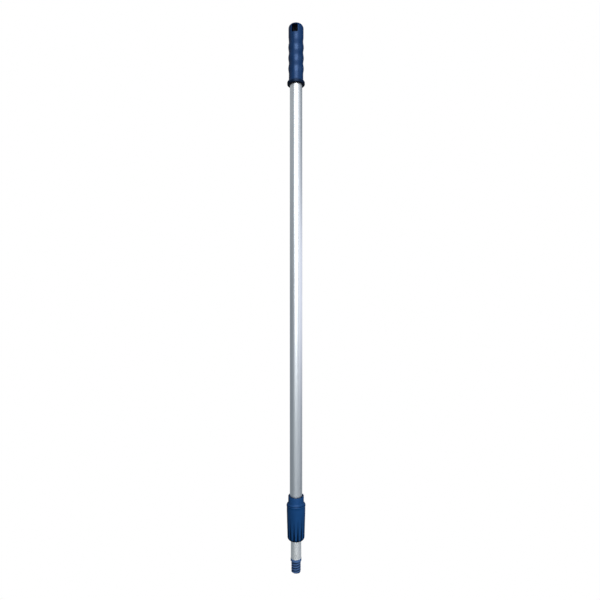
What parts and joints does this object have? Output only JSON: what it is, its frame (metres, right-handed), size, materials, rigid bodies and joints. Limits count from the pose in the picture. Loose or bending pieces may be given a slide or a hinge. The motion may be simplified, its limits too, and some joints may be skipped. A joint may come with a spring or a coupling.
{
  "type": "roller extension pole",
  "caption": "Telescopic pole with a finger-grip handle and hanging slot at one end, a fluted twist lock, and a coarse screw tip that takes a paint roller or brush holder.",
  "frame": {"origin": "on the pole's axis in the lower face of the tip's collar, where the roller frame's socket comes to rest", "axes": "+Z along the pole from the threaded tip to the grip; the hanging slot runs through the grip along Y"},
  "size_m": [0.0382, 0.0382, 1.1029],
  "materials": {
    "outer_aluminium": "satin drawn tube, fine lengthwise lines",
    "inner_aluminium": "satin drawn tube, fine lengthwise lines and slide marks",
    "grip_plastic": "dark blue moulded plastic, soft gloss",
    "lock_plastic": "dark blue moulded plastic, soft gloss",
    "tip_plastic": "dark blue moulded plastic, satin",
    "hidden_plastic": "natural moulded plastic",
    "rivet_aluminium": "as formed",
    "pin_steel": "zinc plated"
  },
  "bodies": {
    "outer_section": {"outer_tube": "outer_aluminium", "handle_grip": "grip_plastic", "tube_plug": "hidden_plastic", "threaded_sleeve": "lock_plastic"},
    "lock_collet": {"clamping_collet": "hidden_plastic", "slip_washer": "hidden_plastic"},
    "lock_nut": {"lock_nut": "lock_plastic"},
    "guide_ring": {"guide_ring": "hidden_plastic"},
    "inner_section": {"inner_tube": "inner_aluminium", "threaded_tip": "tip_plastic", "tip_rivet": "rivet_aluminium", "tip_rivet_mandrel": "pin_steel", "guide_plug": "hidden_plastic", "plug_pin": "pin_steel"}
  },
  "joints": [
    {"name": "collet_travel", "type": "slide", "parent": "outer_section", "child": "lock_collet", "axis": [0, 0, -1], "range_m": [0, 0.003]},
    {"name": "nut_turn", "type": "hinge", "parent": "lock_collet", "child": "lock_nut", "pos_m": [0, 0, 0.0777], "axis": [0, 0, -1], "range_deg": [0, 270]},
    {"name": "inner_slide", "type": "slide", "parent": "outer_section", "child": "guide_ring", "axis": [0, 0, -1], "range_m": [0, 0.89]},
    {"name": "inner_swivel", "type": "hinge", "parent": "guide_ring", "child": "inner_section", "pos_m": [0, 0, 0.5], "axis": [0, 0, -1], "continuous": true}
  ],
  "couplings": [
    {"joint": "nut_turn", "follows": "collet_travel", "rad_per_m": 1570.8}
  ]
}
